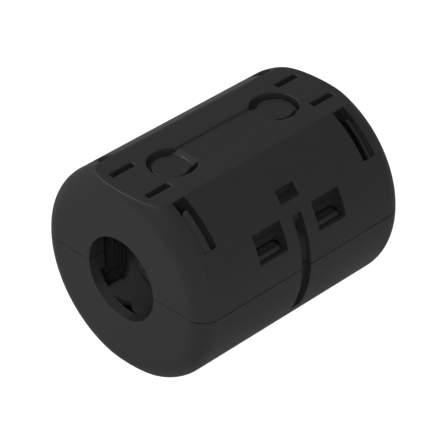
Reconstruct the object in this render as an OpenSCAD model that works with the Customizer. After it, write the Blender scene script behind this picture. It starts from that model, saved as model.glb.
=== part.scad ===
// Clip-on ferrite bead: a hinged two-part moulded case around two half-round ferrite cores.
// X is the width (latch side +X, hinge side -X), Y is the cable axis, Z is up.
// The origin is on the cable axis at mid-length, in the plane where the two shells meet.

/* [Case] */
// width over the round sides
case_width = 26; // [18:0.5:40]
// height over the two flats
case_height = 23.4; // [16:0.2:36]
// length along the cable
case_length = 32.4; // [26:0.1:50]
// rounding of the round sides at each end
end_round = 2.35; // [1:0.05:4]
// blend between each flat and the round sides
flat_blend = 1.2; // [0.4:0.1:3]
// wall of the round sides
side_wall = 1.4; // [1:0.05:2.5]
// wall behind each flat
flat_wall = 2.1; // [1.5:0.05:3]
// thickness of the two end walls
end_wall = 1.35; // [1:0.05:2.5]
// gap between the two shells when closed
parting_gap = 0.1; // [0.04:0.02:0.3]

/* [Cable hole] */
// radius of the cable hole
hole_radius = 5.2; // [3:0.1:8]

/* [Ferrite core] */
// outer radius
core_radius = 9.2; // [6:0.1:12]
// bore radius
core_bore = 5.25; // [3:0.05:8]
// length
core_length = 20.3; // [14:0.1:36]
// edge chamfer
core_chamfer = 0.2; // [0.1:0.05:1]
// gap between the two cores when closed
core_gap = 0.06; // [0.02:0.02:0.2]

/* [Top face] */
// radius of the round gap about each head
ring_radius = 2.9; // [2:0.01:4]
// distance of each round gap from mid-length
ring_offset = 8.03; // [5:0.01:11]
// depth of the gap
ring_depth = 1.2; // [0.5:0.05:1.5]
// radius of each round head
head_radius = 2.15; // [1:0.01:3]
// distance of each head from mid-length
head_offset = 8.27; // [5:0.01:11]
// depth of each head below the flat
head_depth = 0.42; // [0.1:0.01:0.8]
// half width of the neck behind each head
neck_half = 1.65; // [0.8:0.01:2]
// half width of the panel between the heads
panel_half = 1.85; // [1:0.01:2.6]
// depth of the panel
panel_depth = 0.15; // [0.05:0.01:0.4]
// where the ramp from the panel down to each head starts
head_ramp_start = 5.4; // [4:0.05:6]
// where that ramp ends
head_ramp_end = 6.4; // [5.5:0.05:7]
// inner edge of the four straight slots, from the middle
slot_inner = 2.39; // [1.5:0.01:4]
// width of the straight slots
slot_width = 0.89; // [0.5:0.01:1.5]
// end of the straight slots nearest mid-length
slot_start = 11.22; // [9:0.02:13]
// length of the straight slots
slot_length = 3.4; // [2:0.05:5]

/* [Side fingers] */
// root angle of each finger, up from the parting plane
finger_low = 35; // [20:1:45]
// free end angle of each finger
finger_high = 57.5; // [46:0.5:62]
// top angle of the slot
finger_slot_top = 64.1; // [62:0.1:70]
// end of the slot nearest mid-length
finger_near = 11.65; // [10:0.01:13]
// width of the slot beside the finger
finger_gap = 0.9; // [0.4:0.05:1.5]
// width of the finger
finger_width = 1.0; // [0.6:0.01:1.2]
// how far the sloped face of the finger lies below the round side at its outer edge
finger_step = 0.5; // [0.1:0.05:0.9]
// thickness of the finger at the slot
finger_lip = 0.25; // [0.15:0.05:0.8]
// width along which the finger is joined to the wall at its full thickness
finger_root = 0.2; // [0.1:0.05:0.4]

/* [Latch side] */
// windows: edge nearest mid-length
window_near = 2.48; // [1.5:0.02:4]
// windows: width along the case
window_width = 4.35; // [2:0.05:6]
// windows: lower edge above the parting plane
window_low = 3.3; // [2:0.05:5]
// windows: thickness of the outer rim of the lower edge
rim_width = 0.65; // [0.3:0.05:1]
// windows: top of the ledge the catch holds, behind the rim
ledge_top = 2.85; // [2:0.05:3.2]
// windows: upper edge of the sloped lead-in
window_high = 6.72; // [5:0.02:8]
// boss behind the windows: lower edge
boss_low = 3.65; // [3.4:0.05:4.4]
// sloped lead-in: lower edge height
ramp_low = 4.6; // [4:0.01:6]
// sloped lead-in: lower edge distance from the middle
ramp_in = 10.23; // [9:0.01:11.5]
// small recess half width
notch_half = 1.43; // [0.8:0.01:2.5]
// small recess lower edge
notch_low = 7.75; // [7.2:0.05:8]
// small recess upper edge
notch_high = 9.05; // [8:0.05:9.5]
// small recess floor, from the middle
notch_floor = 8.65; // [8.5:0.05:9.2]
// width of the middle groove
groove_width = 1.43; // [0.8:0.01:2.5]
// depth of the middle groove
groove_depth = 0.8; // [0.2:0.05:0.9]
// reach of the groove above and below the parting plane
groove_reach = 6.34; // [5:0.02:7]
// pry pocket at the top of the groove: depth of its floor, from the middle
pry_in = 10.48; // [10.2:0.01:11.2]
// pry pocket: lower edge of its sloped back
pry_back = 4.0; // [3.8:0.05:5]
// pry pocket: upper edge of its sloped floor
pry_floor = 3.7; // [3.2:0.05:3.75]

/* [Latch hooks] */
// inner face of each hook, from the middle
hook_in = 10.05; // [9.7:0.05:10.5]
// hook thickness
hook_thick = 1.0; // [0.6:0.05:1.1]
// hook width
hook_width = 3.8; // [2:0.1:4.1]
// top of the hook above the parting plane
hook_top = 3.55; // [3.3:0.05:3.55]
// gap between the catch and its ledge
catch_gap = 0.1; // [0.02:0.02:0.3]
// reach of the catch past the hook
catch_reach = 0.65; // [0.4:0.05:0.8]

/* [Cable grip combs] */
// first rib behind the end face
rib_first = 3.7; // [2.9:0.01:3.8]
// rib pitch
rib_pitch = 0.52; // [0.4:0.005:0.54]
// rib thickness
rib_thick = 0.2; // [0.15:0.01:0.25]
// number of ribs in each comb
rib_count = 4; // [2:1:4]
// half height of the ribs at the cable
rib_half = 3.1; // [2:0.05:3.6]
// half height of the opening in front of the combs
comb_half = 3.85; // [3:0.05:4.2]
// corner of that opening
comb_corner = 2.2; // [0.3:0.1:2.5]
// deep edge of that opening, behind the end face
comb_deep = 5.65; // [5.6:0.01:5.7]
// half height of the open space behind the opening
space_half = 5.7; // [5.7:0.1:6.2]
// thickness left of the saddle round the opening
saddle_skin = 0.35; // [0.3:0.05:0.8]
// pad between the end wall and the ribs: its depth behind the end face
pad_end = 2.37; // [1.6:0.01:2.7]
// half height of the pad
pad_half = 2.3; // [1:0.05:3]
// inner face of the plate that carries the ribs, from the middle
comb_out = 7.0; // [6.8:0.1:8]
// thickness of that plate
comb_plate = 0.8; // [0.6:0.05:1.2]

/* [Film hinge] */
// width of each strap
strap_width = 7; // [3:0.5:10]
// middle of each strap from mid-length
strap_offset = 7.5; // [5:0.25:10]
// strap thickness
strap_thick = 0.35; // [0.2:0.05:0.6]
// inner radius of the fold
fold_radius = 0.6; // [0.3:0.05:1]
// height of each foot from the parting plane
foot_height = 1.65; // [1:0.05:2.5]
// floor of the recess the straps lie in, from the middle
recess_floor = 12.5; // [12:0.05:12.8]

/* [Hidden] */
$fn = 128;
eps = 0.01;
side_r = case_width / 2;
inner_r = side_r - side_wall;
half_h = case_height / 2;
inner_h = half_h - flat_wall;
half_l = case_length / 2;
inner_l = half_l - end_wall;
flat_half = sqrt(pow(side_r - flat_blend, 2) - pow(half_h - flat_blend, 2));
blend_top = side_r * (half_h - flat_blend) / (side_r - flat_blend);
core_room = core_length / 2 + 0.1;
bulkhead = 0.95;
big = 100;

// ---- helpers ----

// turns a flat outline drawn in X and Z into a bar along the cable axis
module along_cable(from, to) {
    translate([0, to, 0])
        rotate([90, 0, 0])
            linear_extrude(height = to - from)
                children();
}

// both ends of the case
module both_ends() {
    children();
    mirror([0, 1, 0]) children();
}

// both round sides
module both_sides() {
    children();
    mirror([1, 0, 0]) children();
}

// keeps what lies above the parting plane, by half of a gap
module upper_half(gap) {
    intersection() {
        children();
        translate([-big / 2, -big / 2, gap / 2])
            cube([big, big, big / 2]);
    }
}

// a pie of the given angles about the cable axis, as a flat outline
module pie(low, high, reach = 30) {
    polygon([
        [0, 0],
        [reach * cos(low), reach * sin(low)],
        [reach * 1.2 * cos((low + high) / 2), reach * 1.2 * sin((low + high) / 2)],
        [reach * cos(high), reach * sin(high)]
    ]);
}

// ---- case form ----

module drum_outline() {
    square_l = half_l - end_round;
    translate([0, -half_l])
        square([side_r - end_round, case_length]);
    translate([0, -square_l])
        square([side_r, 2 * square_l]);
    translate([side_r - end_round, square_l])
        circle(r = end_round);
    translate([side_r - end_round, -square_l])
        circle(r = end_round);
}

module case_section() {
    intersection() {
        circle(r = side_r);
        square([2 * side_r, 2 * blend_top], center = true);
    }
    square([2 * flat_half, case_height], center = true);
    for (x = [-1, 1], z = [-1, 1])
        translate([x * flat_half, z * (half_h - flat_blend)])
            circle(r = flat_blend);
}

module case_form() {
    intersection() {
        rotate([90, 0, 0])
            rotate_extrude()
                drum_outline();
        along_cable(-half_l - 1, half_l + 1)
            case_section();
    }
}

module room_section() {
    intersection() {
        circle(r = inner_r);
        square([2 * inner_r, 2 * inner_h], center = true);
    }
}

// ---- inside of each shell, drawn for the upper one ----

// the opening in front of a comb, with round corners, through the saddle to the given distance
module comb_opening(reach) {
    y_in = half_l - comb_deep;
    depth = inner_l - y_in;
    translate([0, y_in, -comb_half]) {
        translate([0, comb_corner, 0])
            cube([reach, depth - comb_corner, 2 * comb_half]);
        translate([0, 0, comb_corner])
            cube([reach, depth, 2 * (comb_half - comb_corner)]);
        for (z = [comb_corner, 2 * comb_half - comb_corner])
            translate([0, comb_corner, z])
                rotate([0, 90, 0])
                    cylinder(r = comb_corner, h = reach);
    }
}

// the open space behind the opening, which leaves only a thin skin of the saddle
module comb_space() {
    along_cable(half_l - comb_deep, inner_l)
        difference() {
            translate([3, -space_half])
                square([comb_out - 3, 2 * space_half]);
            circle(r = hole_radius + saddle_skin);
        }
}

// one end: bulkhead against the core and cable saddle, opened at both sides
module end_blocks() {
    difference() {
        union() {
            along_cable(core_room, core_room + bulkhead)
                room_section();
            along_cable(core_room, inner_l + eps)
                circle(r = hole_radius + 1.2);
        }
        both_sides() {
            comb_opening(comb_out);
            comb_space();
        }
    }
}

// one comb: a pad on the end wall, then thin ribs with sloped ends on a plate that stands on the bulkhead
module comb() {
    inner = hole_radius + 0.05;
    plate_half = rib_half + comb_out - inner;
    for (i = [0 : rib_count - 1])
        along_cable(half_l - rib_first - i * rib_pitch - rib_thick, half_l - rib_first - i * rib_pitch)
            polygon([
                [inner, -rib_half],
                [comb_out + eps, -plate_half - eps],
                [comb_out + eps, plate_half + eps],
                [inner, rib_half]
            ]);
    along_cable(core_room, half_l - rib_first)
        translate([comb_out, -plate_half])
            square([comb_plate, 2 * plate_half]);
    translate([inner, half_l - pad_end, -pad_half])
        cube([comb_out - inner, pad_end - end_wall + eps, 2 * pad_half]);
}

// arc seats that hold the core off the round wall
module core_seats() {
    for (y = [-9.7, 8.9])
        along_cable(y, y + 0.8)
            difference() {
                room_section();
                circle(r = core_radius + 0.1);
            }
}

// a shell without its own openings, drawn full height and halved later
module shell_body() {
    difference() {
        case_form();
        along_cable(-inner_l, inner_l)
            room_section();
    }
    both_ends() {
        end_blocks();
        both_sides() comb();
    }
    core_seats();
}

module cable_hole() {
    along_cable(-half_l - 1, half_l + 1)
        circle(r = hole_radius);
}

// the crevice through the saddle just behind each end wall, given as X and depth from the end face;
// the saddle is thinned round it from outside
module crevices() {
    both_ends() {
        translate([-3.6, half_l - end_wall - 1.7, hole_radius + 0.35])
            cube([5.9, 1.7, 2]);
        translate([0, half_l, 4])
            linear_extrude(height = 3)
                polygon([
                    [-2.8, -end_wall],
                    [-1.4, -end_wall - 0.95],
                    [-0.85, -end_wall - 0.95],
                    [-0.4, -end_wall - 0.5],
                    [1.5, -end_wall]
                ]);
    }
}

// ---- openings ----

module middle_groove() {
    along_cable(-groove_width / 2, groove_width / 2)
        difference() {
            translate([0, -groove_reach])
                square([side_r + 1, 2 * groove_reach]);
            circle(r = side_r - groove_depth);
        }
}

module hinge_recess() {
    for (y = [-strap_offset, strap_offset])
        translate([-side_r - 1, y - strap_width / 2 - 0.05, -foot_height - 0.05])
            cube([side_r + 1 - recess_floor, strap_width + 0.1, 2 * foot_height + 0.1]);
}

// the pocket that lets the groove end in a sloped back and a sloped floor
module pry_pocket() {
    along_cable(-groove_width / 2, groove_width / 2)
        polygon([
            [pry_in, pry_floor],
            [pry_in + 1.62, pry_floor - 0.9],
            [side_r + 1, pry_floor - 0.9],
            [side_r + 1, groove_reach],
            [side_r * cos(asin(groove_reach / side_r)), groove_reach],
            [pry_in, pry_back]
        ]);
}

// a shallow panel that ramps down to a round head at each end, with a deep gap round each head
module top_heads() {
    both_ends()
        translate([0, 0, half_h - ring_depth])
            difference() {
                translate([0, ring_offset, 0])
                    cylinder(r = ring_radius, h = 3);
                translate([0, head_offset, -1])
                    cylinder(r = head_radius, h = 5);
                translate([-neck_half, 0, -1])
                    cube([2 * neck_half, head_offset, 5]);
            }
    both_ends()
        translate([0, head_offset, half_h - head_depth])
            cylinder(r = head_radius + eps, h = 2);
    translate([-panel_half, 0, half_h])
        rotate([90, 0, 90])
            linear_extrude(height = 2 * panel_half)
                polygon([
                    [-head_offset, 1],
                    [-head_offset, -head_depth],
                    [-head_ramp_end, -head_depth],
                    [-head_ramp_start, -panel_depth],
                    [head_ramp_start, -panel_depth],
                    [head_ramp_end, -head_depth],
                    [head_offset, -head_depth],
                    [head_offset, 1]
                ]);
}

module straight_slots() {
    both_ends() both_sides()
        translate([slot_inner, slot_start, inner_h - 1])
            cube([slot_width, slot_length, flat_wall + 2]);
}

// slot round a side finger, the slope of its face, and the slope that thins it from inside
module finger_slots() {
    finger_end = finger_near + finger_gap + finger_width;
    finger_start = finger_near + finger_gap;
    cone_length = finger_width * (1 + 0.05 / finger_step);
    both_ends() both_sides() {
        along_cable(finger_near, finger_start)
            difference() {
                pie(finger_low, finger_slot_top);
                circle(r = inner_r - 1);
            }
        along_cable(finger_start - eps, finger_end)
            difference() {
                pie(finger_high, finger_slot_top);
                circle(r = inner_r - 1);
            }
        difference() {
            along_cable(finger_start - eps, finger_end)
                pie(finger_low, finger_high + eps);
            translate([0, finger_end + eps, 0])
                rotate([90, 0, 0])
                    cylinder(r1 = side_r - finger_step, r2 = side_r + 0.05, h = cone_length);
        }
        intersection() {
            along_cable(finger_start - eps, finger_end - finger_root)
                difference() {
                    pie(finger_low, finger_high);
                    circle(r = inner_r - 1);
                }
            translate([0, finger_end, 0])
                rotate([90, 0, 0])
                    cylinder(
                        r1 = inner_r - finger_step,
                        r2 = side_r - finger_lip + 0.05,
                        h = finger_width + 0.05
                    );
        }
        // the corner left off the tip, on the side towards the end
        rotate([0, -finger_high, 0])
            translate([inner_r - 1, 0, 0])
                rotate([90, 0, 90])
                    linear_extrude(height = 4)
                        polygon([
                            [finger_end - 0.57, 0.07],
                            [finger_end + eps, -0.84],
                            [finger_end + eps, 0.07]
                        ]);
    }
}

// the boss behind the windows and the small recess; its middle reaches lower, round the pry pocket
module window_boss() {
    reach = window_near + window_width + 0.8;
    middle = groove_width / 2 + 0.8;
    intersection() {
        union() {
            along_cable(-reach, reach)
                polygon([
                    [ramp_in - 0.03, boss_low],
                    [side_r, boss_low],
                    [side_r, 8.8],
                    [7.5, 8.8],
                    [9.35, ramp_low + 0.5],
                    [9.35, boss_low]
                ]);
            along_cable(-middle, middle)
                polygon([
                    [9.6, pry_floor + eps],
                    [9.6, pry_floor - 0.5],
                    [side_r, pry_floor - 2.3],
                    [side_r, pry_floor + eps]
                ]);
        }
        along_cable(-big / 2, big / 2)
            circle(r = inner_r + 0.3);
    }
}

module latch_windows() {
    slope = (side_r * cos(asin(window_high / side_r)) - ramp_in) / (window_high - ramp_low);
    rim_in = side_r * cos(asin(window_low / side_r)) - rim_width;
    for (s = [-1, 1])
        along_cable(s * (window_near + window_width / 2) - window_width / 2,
                    s * (window_near + window_width / 2) + window_width / 2)
            polygon([
                [ramp_in - 0.03, boss_low - 0.1],
                [ramp_in - 0.03, ledge_top],
                [rim_in, ledge_top],
                [rim_in, window_low],
                [side_r + 1, window_low],
                [side_r + 1, window_high + 1],
                [ramp_in + slope * (window_high + 1 - ramp_low), window_high + 1],
                [ramp_in, ramp_low]
            ]);
}

module small_recess() {
    translate([notch_floor, -notch_half, notch_low])
        cube([7, 2 * notch_half, notch_high - notch_low]);
}

// ---- latch hooks, part of the lower shell ----

module latch_hooks() {
    out = hook_in + hook_thick;
    catch_low = ledge_top + catch_gap;
    for (s = [-1, 1])
        along_cable(s * (window_near + window_width / 2) - hook_width / 2,
                    s * (window_near + window_width / 2) + hook_width / 2)
            intersection() {
                polygon([
                    [hook_in, -9],
                    [out, -9],
                    [out, catch_low],
                    [out + catch_reach, catch_low],
                    [out + catch_reach, catch_low + 0.25],
                    [out + catch_reach - 0.3, hook_top],
                    [hook_in + 0.25, hook_top],
                    [hook_in, hook_top - 0.25]
                ]);
                circle(r = side_r - 0.5);
            }
}

// ---- nodes ----

module lower_shell() {
    color([0.11, 0.11, 0.115])
        union() {
            mirror([0, 0, 1])
                difference() {
                    upper_half(parting_gap) shell_body();
                    cable_hole();
                    middle_groove();
                    hinge_recess();
                    crevices();
                }
            latch_hooks();
        }
}

module upper_shell() {
    color([0.11, 0.11, 0.115])
        difference() {
            union() {
                upper_half(parting_gap) shell_body();
                window_boss();
            }
            cable_hole();
            middle_groove();
            hinge_recess();
            pry_pocket();
            top_heads();
            straight_slots();
            finger_slots();
            latch_windows();
            small_recess();
        }
}

module core_outline() {
    half = core_length / 2;
    c = core_chamfer;
    polygon([
        [core_bore + c, -half],
        [core_radius - c, -half],
        [core_radius, -half + c],
        [core_radius, half - c],
        [core_radius - c, half],
        [core_bore + c, half],
        [core_bore, half - c],
        [core_bore, -half + c]
    ]);
}

module half_core() {
    upper_half(core_gap)
        rotate([90, 0, 0])
            rotate_extrude()
                core_outline();
}

module upper_core() {
    color([0.2, 0.2, 0.21]) half_core();
}

module lower_core() {
    color([0.2, 0.2, 0.21])
        mirror([0, 0, 1]) half_core();
}

// the film hinge: a band with a foot on each shell and a rounded fold between them
module hinge_straps() {
    color([0.13, 0.13, 0.135])
        for (y = [-strap_offset, strap_offset])
            along_cable(y - strap_width / 2, y + strap_width / 2)
                translate([-recess_floor, 0]) {
                    difference() {
                        circle(r = fold_radius + strap_thick);
                        circle(r = fold_radius);
                        translate([0, -5])
                            square([10, 10]);
                    }
                    for (s = [-1, 1])
                        translate([-strap_thick, s > 0 ? fold_radius : -foot_height])
                            square([strap_thick, foot_height - fold_radius]);
                }
}

lower_shell();
upper_shell();
lower_core();
upper_core();
hinge_straps();
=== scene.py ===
import bmesh
import bpy
import math
from mathutils import Matrix, Vector


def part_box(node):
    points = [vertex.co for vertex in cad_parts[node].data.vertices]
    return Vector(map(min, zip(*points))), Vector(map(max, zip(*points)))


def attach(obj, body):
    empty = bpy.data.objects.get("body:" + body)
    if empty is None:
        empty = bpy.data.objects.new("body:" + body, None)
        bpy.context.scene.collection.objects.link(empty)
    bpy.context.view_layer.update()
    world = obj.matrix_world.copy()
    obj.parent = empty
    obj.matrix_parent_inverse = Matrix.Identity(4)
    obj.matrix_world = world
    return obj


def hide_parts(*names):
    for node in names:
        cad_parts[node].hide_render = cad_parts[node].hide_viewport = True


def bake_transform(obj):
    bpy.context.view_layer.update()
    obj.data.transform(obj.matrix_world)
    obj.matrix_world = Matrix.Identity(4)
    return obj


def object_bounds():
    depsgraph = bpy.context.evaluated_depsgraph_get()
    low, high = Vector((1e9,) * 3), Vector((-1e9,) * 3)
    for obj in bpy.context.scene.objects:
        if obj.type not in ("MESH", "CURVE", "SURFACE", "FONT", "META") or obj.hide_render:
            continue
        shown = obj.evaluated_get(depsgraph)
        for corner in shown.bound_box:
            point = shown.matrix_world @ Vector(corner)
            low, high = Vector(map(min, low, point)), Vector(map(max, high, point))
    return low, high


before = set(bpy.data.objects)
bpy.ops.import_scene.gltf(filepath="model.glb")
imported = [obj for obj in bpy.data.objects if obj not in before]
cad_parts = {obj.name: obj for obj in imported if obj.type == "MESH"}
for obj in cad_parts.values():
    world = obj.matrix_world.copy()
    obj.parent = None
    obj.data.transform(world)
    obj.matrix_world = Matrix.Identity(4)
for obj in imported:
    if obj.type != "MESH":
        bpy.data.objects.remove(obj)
cadLow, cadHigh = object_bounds()
print("frame loaded:", len(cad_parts), "nodes")

mm = 0.001
white = (1, 1, 1, 1)


def linearColour(hexText):  # sRGB hex to the linear values the shader wants
    parts = [int(hexText[i:i + 2], 16) / 255 for i in (1, 3, 5)]
    return [c / 12.92 if c <= 0.04045 else ((c + 0.055) / 1.055) ** 2.4 for c in parts] + [1]


def addNode(tree, kind, settings=None, links=None):
    node = tree.nodes.new(kind)
    for key, value in (settings or {}).items():
        if key in node.inputs:
            node.inputs[key].default_value = value
        else:
            setattr(node, key, value)
    for socket, source in (links or {}).items():
        tree.links.new(source, node.inputs[socket])
    return node


def newMaterial(name):
    material = bpy.data.materials.new(name)
    material.use_nodes = True
    material.node_tree.nodes.clear()
    return material, material.node_tree


def pullSolid(bm, faces, way):  # pulls a flat patch of faces out into a closed solid
    pulled = bmesh.ops.extrude_face_region(bm, geom=faces, use_keep_orig=True)["geom"]
    bmesh.ops.translate(bm, verts=[v for v in pulled if isinstance(v, bmesh.types.BMVert)], vec=way)


def newPiece(name, bm, material):  # turns a finished bmesh into an object at the origin
    mesh = bpy.data.meshes.new(name)
    bm.to_mesh(mesh)
    bm.free()
    mesh.materials.append(material)
    piece = bpy.data.objects.new(name, mesh)
    bpy.context.scene.collection.objects.link(piece)
    return piece


# ---- camera ----
cameraSet = {
    "azimuth": 45.391,  # degrees, from the near end towards the latch side
    "elevation": 35.066,
    "roll": -0.405,
    "distance": 308.8 * mm,
    "lens": 219.03,
    "sensor": 36,
    "shiftX": -0.00542,
    "shiftY": -0.00561,
    "clip": (0.01, 20),
}


def makeCamera(s):
    az, el = math.radians(s["azimuth"]), math.radians(s["elevation"])
    back = Vector((math.sin(az) * math.cos(el), -math.cos(az) * math.cos(el), math.sin(el)))
    data = bpy.data.cameras.new("camera")
    data.sensor_width = s["sensor"]
    data.lens = s["lens"]
    data.shift_x, data.shift_y = s["shiftX"], s["shiftY"]
    data.clip_start, data.clip_end = s["clip"]
    camera = bpy.data.objects.new("camera", data)
    bpy.context.scene.collection.objects.link(camera)
    turn = (-back).to_track_quat("-Z", "Y").to_matrix().to_4x4()
    roll = Matrix.Rotation(math.radians(s["roll"]), 4, "Z")
    camera.matrix_world = Matrix.Translation(back * s["distance"]) @ turn @ roll
    bpy.context.scene.camera = camera


makeCamera(cameraSet)
print("camera placed")

# ---- light and floor ----
lightSet = {
    "worldMatt": 0.15,  # strength of the studio round the part, as matt light
    "worldShine": 0.255,  # and as it shows in reflections, where most of it is dark
    "lamps": [
        # name, place in mm, size in mm, power in watts, whether it gives shine or matt light
        ("nearLamp", (233, -230, 230), 110, 1.0, "matt"),
        ("sideLamp", (330, -58, 58), 120, 0.24, "matt"),
        ("endLamp", (-255, -220, 34), 120, 0.84, "matt"),
        ("backLamp", (-235, 230, 60), 120, 0.6, "matt"),
        ("edgeLamp", (-218, -110, 282), 30, 0.55, "shine"),
    ],
}


def backgroundRays(tree):  # 1 for rays that see the plain background, and the glossy rays on their own
    path = addNode(tree, "ShaderNodeLightPath")
    seen = addNode(tree, "ShaderNodeMath", {"operation": "MAXIMUM"}, {
        0: path.outputs["Is Camera Ray"], 1: path.outputs["Is Transmission Ray"]})
    return seen.outputs[0], path.outputs["Is Glossy Ray"]


def makeWorld(s):
    world = bpy.data.worlds.new("studio")
    world.use_nodes = True
    bpy.context.scene.world = world
    tree = world.node_tree
    tree.nodes.clear()
    seen, glossy = backgroundRays(tree)
    level = addNode(tree, "ShaderNodeMapRange", {
        "To Min": s["worldMatt"], "To Max": s["worldShine"]}, {"Value": glossy})
    studio = addNode(tree, "ShaderNodeBackground", {"Color": white}, {"Strength": level.outputs[0]})
    plain = addNode(tree, "ShaderNodeBackground", {"Color": white, "Strength": 1.0})
    mix = addNode(tree, "ShaderNodeMixShader", links={
        0: seen, 1: studio.outputs[0], 2: plain.outputs[0]})
    addNode(tree, "ShaderNodeOutputWorld", links={"Surface": mix.outputs[0]})


def placeLamp(name, data, place, aim, kind):
    lamp = bpy.data.objects.new(name, data)
    lamp.visible_camera = False
    lamp.visible_glossy = kind == "shine"
    lamp.visible_diffuse = kind == "matt"
    bpy.context.scene.collection.objects.link(lamp)
    spot, target = Vector(place) * mm, Vector(aim) * mm
    turn = (target - spot).to_track_quat("-Z", "Y").to_matrix().to_4x4()
    lamp.matrix_world = Matrix.Translation(spot) @ turn


def makeLamps(lamps):
    for name, place, size, power, kind in lamps:
        data = bpy.data.lights.new(name, "AREA")
        data.size = size * mm
        data.energy = power
        placeLamp(name, data, place, (0, 0, 0), kind)


beamSet = {
    "place": (12, 106, 26),  # mm, behind the far end
    "aim": (-1.8, -7, -5),  # mm, the lower wall of the cable hole
    "angle": 4.2,  # degrees, so narrow that it passes through the far hole and lights nothing else
    "softness": 0.35,  # of its rim, from 0 to 1
    "power": 1.5,
    "size": 1.0,  # mm
}


def makeBeam(s):  # a lamp with a snoot that lets light into the cable hole from its far end
    data = bpy.data.lights.new("holeBeam", "SPOT")
    data.energy = s["power"]
    data.spot_size = math.radians(s["angle"])
    data.spot_blend = s["softness"]
    data.shadow_soft_size = s["size"] * mm
    placeLamp("holeBeam", data, s["place"], s["aim"], "matt")


floorSet = {
    "halfSize": 3.0,  # metres
    "clear": 0.02 * mm,  # below the lower flat
    "colour": "#989898",
    "glow": 0.95,  # as the camera sees it, where 1 is white
    "shine": 0.095,  # as it shows in reflections
}


def makeFloor(s):
    material, tree = newMaterial("paleFloor")
    seen, glossy = backgroundRays(tree)
    matt = addNode(tree, "ShaderNodeBsdfDiffuse", {"Color": linearColour(s["colour"])})
    shine = addNode(tree, "ShaderNodeMapRange", {"To Max": s["shine"]}, {"Value": glossy})
    level = addNode(tree, "ShaderNodeMapRange", {"To Max": s["glow"]}, {
        "Value": seen, "To Min": shine.outputs[0]})
    glow = addNode(tree, "ShaderNodeEmission", {"Color": white}, {"Strength": level.outputs[0]})
    both = addNode(tree, "ShaderNodeAddShader", links={0: matt.outputs[0], 1: glow.outputs[0]})
    addNode(tree, "ShaderNodeOutputMaterial", links={"Surface": both.outputs[0]})
    bm = bmesh.new()
    bmesh.ops.create_grid(bm, x_segments=1, y_segments=1, size=s["halfSize"])
    bmesh.ops.translate(bm, verts=bm.verts, vec=(0, 0, cadLow.z - s["clear"]))
    newPiece("studioFloor", bm, material)


makeWorld(lightSet)
makeLamps(lightSet["lamps"])
makeBeam(beamSet)
makeFloor(floorSet)
bpy.context.scene.view_settings.view_transform = "Standard"
print("light and floor ready")

# ---- materials ----
nylonSet = {
    "colour": "#252525",
    "deepColour": "#212121",
    "cloudSize": 6,  # mm, the slow drift between the two colours
    "roughness": 0.46,
    "roughSpread": 0.03,
    "ior": 1.5,
    "edgeRadius": 0.26,  # mm, moulded edges are never sharp
    "crispRadius": 0.06,  # mm, on the lower half, so that the parting line stays thin and dark
    "grainSize": 0.12,  # mm between the marks of a spark-eroded mould face
    "grainHeight": 0.002,  # mm
    "grainStrength": 0.25,
    "edgeSamples": 6,
}


# black PA66 from a fine spark-eroded mould: even, satin, slightly grainy, with a soft light on its edges
def mouldedNylon(name, s, edgeRadius):
    material, tree = newMaterial(name)
    place = addNode(tree, "ShaderNodeTexCoord").outputs["Object"]
    cloud = addNode(tree, "ShaderNodeTexNoise", {
        "Scale": 1 / (s["cloudSize"] * mm), "Detail": 2.0}, {"Vector": place})
    colour = addNode(tree, "ShaderNodeMix", {"data_type": "RGBA"}, {0: cloud.outputs["Fac"]})
    colour.inputs[6].default_value = linearColour(s["deepColour"])  # 6 and 7 are its two colours
    colour.inputs[7].default_value = linearColour(s["colour"])
    rough = addNode(tree, "ShaderNodeMapRange", {
        "To Min": s["roughness"] - s["roughSpread"],
        "To Max": s["roughness"] + s["roughSpread"]}, {"Value": cloud.outputs["Fac"]})
    grain = addNode(tree, "ShaderNodeTexNoise", {
        "Scale": 1 / (s["grainSize"] * mm), "Detail": 1.0}, {"Vector": place})
    edge = addNode(tree, "ShaderNodeBevel", {"samples": s["edgeSamples"], "Radius": edgeRadius * mm})
    bump = addNode(tree, "ShaderNodeBump", {
        "Strength": s["grainStrength"], "Distance": s["grainHeight"] * mm}, {
        "Height": grain.outputs["Fac"], "Normal": edge.outputs[0]})
    shader = addNode(tree, "ShaderNodeBsdfPrincipled", {"IOR": s["ior"]}, {
        "Base Color": colour.outputs[2], "Roughness": rough.outputs[0], "Normal": bump.outputs[0]})
    addNode(tree, "ShaderNodeOutputMaterial", links={"Surface": shader.outputs[0]})
    return material


ferriteSet = {
    "colour": "#2b2b2c",
    "poreColour": "#1d1d1e",
    "poreEdges": (0.36, 0.56),  # noise level where pores end and where the plain body starts
    "grainSize": 0.35,  # mm, pores and pressing marks drawn coarse enough to show
    "grainDepth": 0.01,  # mm
    "grainStrength": 0.3,
    "roughness": 0.6,
    "ior": 1.6,
}


def sinteredFerrite(name, s):  # pressed and fired nickel-zinc ferrite: dark grey, dry, faint pores
    material, tree = newMaterial(name)
    place = addNode(tree, "ShaderNodeTexCoord").outputs["Object"]
    pores = addNode(tree, "ShaderNodeTexNoise", {
        "Scale": 1 / (s["grainSize"] * mm), "Detail": 4.0, "Roughness": 0.65}, {"Vector": place})
    ramp = addNode(tree, "ShaderNodeValToRGB", links={"Fac": pores.outputs["Fac"]})
    colours = (s["poreColour"], s["colour"])
    for stop, level, hexText in zip(ramp.color_ramp.elements, s["poreEdges"], colours):
        stop.position = level
        stop.color = linearColour(hexText)
    bump = addNode(tree, "ShaderNodeBump", {
        "Strength": s["grainStrength"], "Distance": s["grainDepth"] * mm}, {"Height": pores.outputs["Fac"]})
    shader = addNode(tree, "ShaderNodeBsdfPrincipled", {"IOR": s["ior"], "Roughness": s["roughness"]}, {
        "Base Color": ramp.outputs["Color"], "Normal": bump.outputs[0]})
    addNode(tree, "ShaderNodeOutputMaterial", links={"Surface": shader.outputs[0]})
    return material


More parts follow.
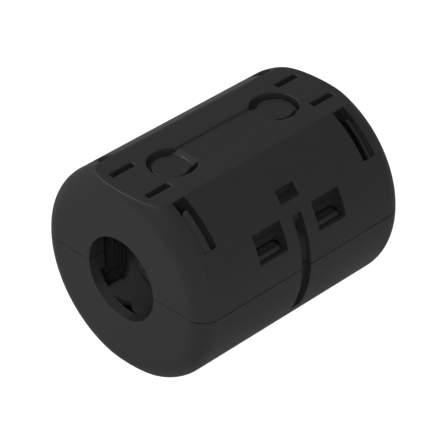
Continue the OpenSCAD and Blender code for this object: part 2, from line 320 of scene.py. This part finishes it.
caseNylon = mouldedNylon("mouldedBlackNylon", nylonSet, nylonSet["edgeRadius"])
crispNylon = mouldedNylon("crispBlackNylon", nylonSet, nylonSet["crispRadius"])
coreFerrite = sinteredFerrite("sinteredFerrite", ferriteSet)
for nodeName, material in (
        ("lower_shell", crispNylon), ("upper_shell", caseNylon),
        ("lower_core", coreFerrite), ("upper_core", coreFerrite)):
    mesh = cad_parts[nodeName].data
    mesh.materials.clear()
    mesh.materials.append(material)
print("materials assigned")

# ---- film hinge ----
bandSet = {
    "offset": 7.5 * mm,  # middle of each band from mid-length
    "width": 7.0 * mm,
    "thickness": 0.35 * mm,
    "foldInner": 0.6 * mm,  # radius inside the fold
    "footGap": 0.12 * mm,  # from the end of each foot to the start of the fold
    "foldOuterTrim": 9,  # degrees left out at both ends of the fold's outer face
    "foldInnerTrim": 12,  # and of its inner face
    "footSteps": 3,
    "foldSteps": 22,
    "sharpAngle": 50,  # degrees, edges above this are rounded
    "edgeRound": 0.07 * mm,
    "roundSteps": 2,
    "bendHalf": 0.7 * mm,  # mm, this far below and above the parting plane
}


# pairs of outer and inner points in X and Z, from the lower foot to the upper one
def bandRungs(s, low, high):
    wallX, foldOuter = high.x, s["foldInner"] + s["thickness"]
    footX = wallX - s["thickness"]
    meet = math.asin(s["thickness"] / foldOuter)  # where the fold leaves the outer face of a foot
    footEnd = foldOuter * math.cos(meet) + s["footGap"]
    feet = []
    for i in range(s["footSteps"] + 1):
        z = low.z + (-footEnd - low.z) * i / s["footSteps"]
        feet.append(((footX, z), (wallX, z)))
    outerTrim, innerTrim = math.radians(s["foldOuterTrim"]), math.radians(s["foldInnerTrim"])
    fold = []
    for i in range(s["foldSteps"] + 1):
        part = i / s["foldSteps"]
        outer = meet + outerTrim + part * (math.pi - 2 * meet - 2 * outerTrim)
        inner = innerTrim + part * (math.pi - 2 * innerTrim)
        fold.append((
            (wallX - foldOuter * math.sin(outer), -foldOuter * math.cos(outer)),
            (wallX - s["foldInner"] * math.sin(inner), -s["foldInner"] * math.cos(inner))))
    upper = [((a[0], -a[1]), (b[0], -b[1])) for a, b in reversed(feet)]
    return feet + fold + upper


def makeBands(s):
    low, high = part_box("hinge_straps")
    rungs = bandRungs(s, low, high)
    bm = bmesh.new()
    for middle in (-s["offset"], s["offset"]):
        rows = [[bm.verts.new((x, middle - s["width"] / 2, z)) for x, z in rung] for rung in rungs]
        side = [bm.faces.new((one[0], one[1], two[1], two[0])) for one, two in zip(rows, rows[1:])]
        pullSolid(bm, side, (0, s["width"], 0))
    bmesh.ops.recalc_face_normals(bm, faces=bm.faces)
    sharp = [e for e in bm.edges if e.calc_face_angle(0) > math.radians(s["sharpAngle"])]
    bmesh.ops.bevel(bm, geom=sharp, offset=s["edgeRound"], segments=s["roundSteps"],
                    profile=0.5, affect="EDGES", material=-1, clamp_overlap=True)
    for face in bm.faces:
        face.smooth = True
    piece = newPiece("hingeBands", bm, caseNylon)
    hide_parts("hinge_straps")
    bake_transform(piece)


makeBands(bandSet)
print("hinge bands built")

# ---- contact land ----
landSet = {
    "inset": 0.4 * mm,  # from the outer face, so that the parting line stays a dark line
    "width": 0.85 * mm,
    "cornerRound": 2.35 * mm,  # of the case where its sides meet its ends
    "cornerSteps": 8,
    "clear": 0.005 * mm,  # left below the upper half
    # openings that the land stays clear of, as spans in X and Y in mm
    "openings": [
        ((-5.3, 5.3), (-17, -14)), ((-5.3, 5.3), (14, 17)),  # the cable hole at both ends
        ((12.1, 13), (-0.8, 0.8)),  # the groove
        ((-13, -12.4), (-11.1, -3.9)), ((-13, -12.4), (3.9, 11.1)),  # the feet of the hinge bands
    ],
}


def landLoop(bm, sideX, endY, inset, s):  # a closed loop of the case's outline in the parting plane
    radius = s["cornerRound"] - inset
    loop = []
    for quarter, (signX, signY) in enumerate(((1, 1), (-1, 1), (-1, -1), (1, -1))):
        middle = (signX * (sideX - s["cornerRound"]), signY * (endY - s["cornerRound"]))
        for i in range(s["cornerSteps"] + 1):
            angle = math.radians(90) * (quarter + i / s["cornerSteps"])
            loop.append(bm.verts.new((
                middle[0] + radius * math.cos(angle), middle[1] + radius * math.sin(angle), 0)))
    return [bm.edges.new((a, b)) for a, b in zip(loop, loop[1:] + loop[:1])]


def cutOpenings(bm, openings):
    cuts = {(axis, place) for spans in openings for axis, ends in enumerate(spans) for place in ends}
    for axis, place in sorted(cuts):  # each plane once, so that no sliver is left
        normal = Vector((axis == 0, axis == 1, 0))
        bmesh.ops.bisect_plane(bm, geom=bm.verts[:] + bm.edges[:] + bm.faces[:],
                               plane_co=normal * place * mm, plane_no=normal)
    gone = []
    for face in bm.faces:
        spot = face.calc_center_median() / mm
        if any(x[0] < spot.x < x[1] and y[0] < spot.y < y[1] for x, y in openings):
            gone.append(face)
    bmesh.ops.delete(bm, geom=gone, context="FACES")


def makeLand(s):  # the two halves really touch along this strip, just behind the parting line
    low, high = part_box("upper_shell")
    bm = bmesh.new()
    edges = landLoop(bm, high.x, high.y, s["inset"], s)
    edges += landLoop(bm, high.x, high.y, s["inset"] + s["width"], s)
    bmesh.ops.bridge_loops(bm, edges=edges)
    cutOpenings(bm, s["openings"])
    bmesh.ops.translate(bm, verts=bm.verts, vec=(0, 0, -low.z))
    pullSolid(bm, bm.faces[:], (0, 0, 2 * low.z - s["clear"]))
    bmesh.ops.recalc_face_normals(bm, faces=bm.faces)
    piece = newPiece("contactLand", bm, crispNylon)
    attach(piece, "base")


makeLand(landSet)
print("contact land built")
